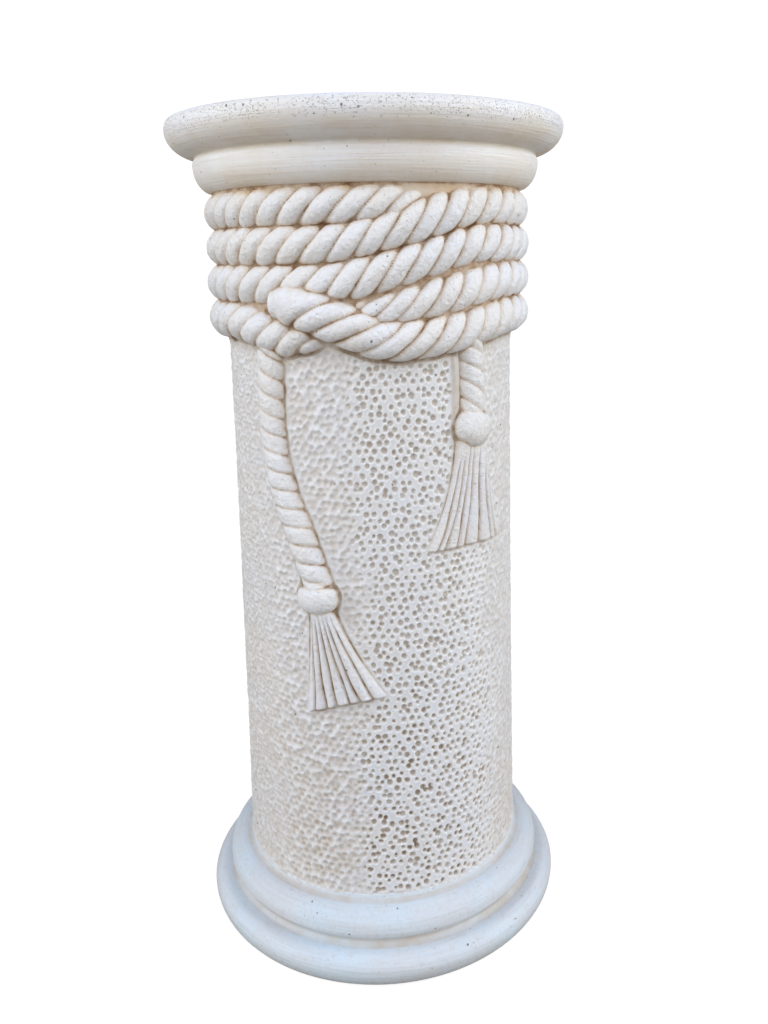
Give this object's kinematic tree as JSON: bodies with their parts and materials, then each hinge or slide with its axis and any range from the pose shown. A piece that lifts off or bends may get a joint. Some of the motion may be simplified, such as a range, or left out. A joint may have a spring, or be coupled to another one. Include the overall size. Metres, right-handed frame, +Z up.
{
  "type": "rope twist column",
  "caption": "Round cast pedestal column with moulded base and cap, pitted shaft, and a carved rope wound under the cap with two hanging tassels.",
  "frame": {"origin": "centre of the underside, on the floor", "axes": "+Z up along the column's axis, -Y towards the front, where the rope crosses and its ends hang, +X to the right of someone facing the front"},
  "size_m": [0.356, 0.356, 0.75],
  "materials": {
    "cast_stone": "ivory paint over cast stone, with a tan wash left in the hollows"
  },
  "bodies": {
    "root": {"rope_twist_column": "cast_stone"}
  },
  "joints": []
}
